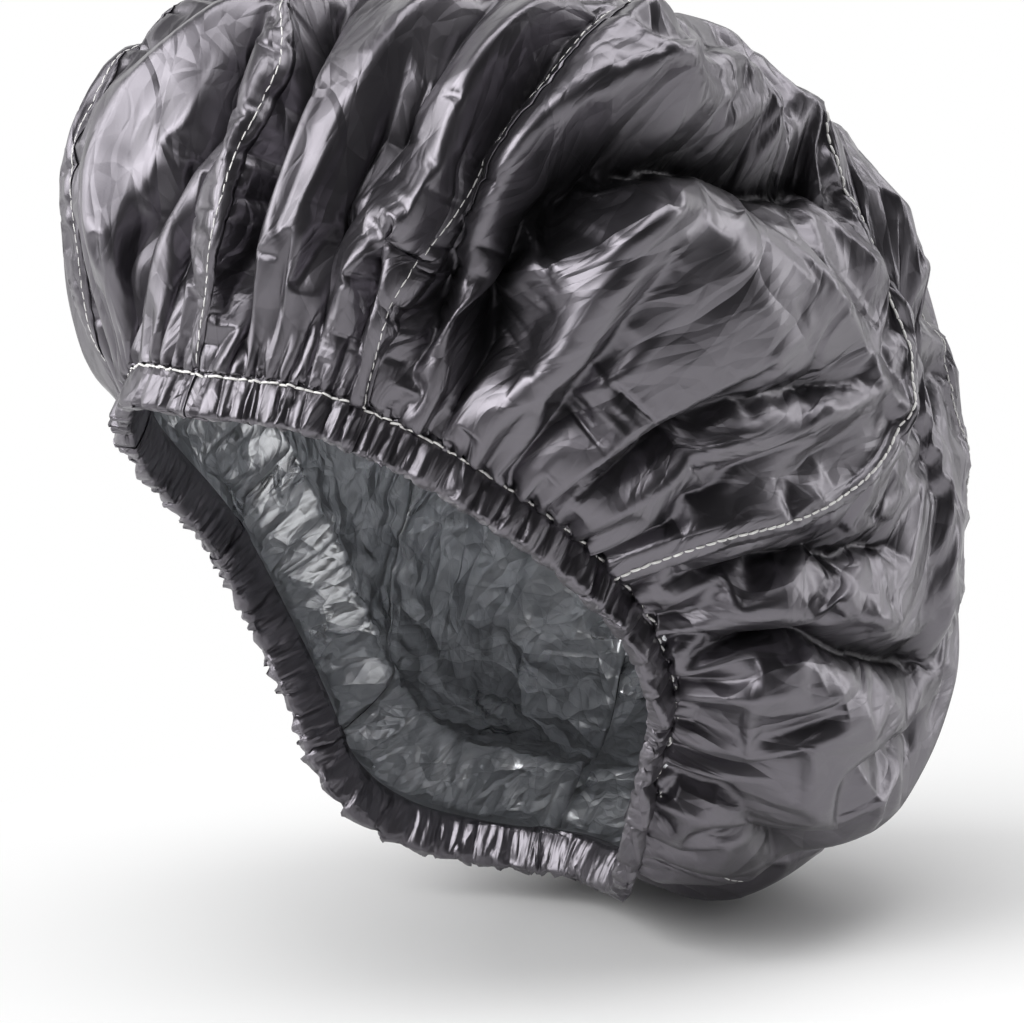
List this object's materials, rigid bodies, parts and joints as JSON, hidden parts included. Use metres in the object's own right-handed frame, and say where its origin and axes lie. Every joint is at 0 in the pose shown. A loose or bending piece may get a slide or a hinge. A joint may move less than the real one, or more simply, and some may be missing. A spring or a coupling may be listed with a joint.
{
  "type": "heat cap",
  "caption": "Bouffant heat cap of glossy film gores over a foil-faced lining, gathered to the head by an elastic hem.",
  "frame": {"origin": "centre of the head opening, on the stitched row that sits on the head", "axes": "front of the cap towards -Y, wearer's left towards +X, up +Z"},
  "size_m": [0.2442, 0.2865, 0.2933],
  "materials": {
    "film": "glossy, creased vinyl film",
    "foil_lining": "foil-faced thermal lining, satin",
    "elastic": "braided elastic, matt",
    "thread": "spun polyester thread"
  },
  "bodies": {
    "root": {"shell_gore_front": "film", "lining_gore_front": "foil_lining", "seam_thread_1": "thread", "shell_gore_front_left": "film", "lining_gore_front_left": "foil_lining", "seam_thread_2": "thread", "shell_gore_left": "film", "lining_gore_left": "foil_lining", "seam_thread_3": "thread", "shell_gore_back_left": "film", "lining_gore_back_left": "foil_lining", "seam_thread_4": "thread", "shell_gore_back": "film", "lining_gore_back": "foil_lining", "seam_thread_5": "thread", "shell_gore_back_right": "film", "lining_gore_back_right": "foil_lining", "seam_thread_6": "thread", "shell_gore_right": "film", "lining_gore_right": "foil_lining", "seam_thread_7": "thread", "shell_gore_front_right": "film", "lining_gore_front_right": "foil_lining", "seam_thread_8": "thread", "elastic_band": "elastic", "hem_thread": "thread", "crown_tack": "thread"}
  },
  "joints": []
}
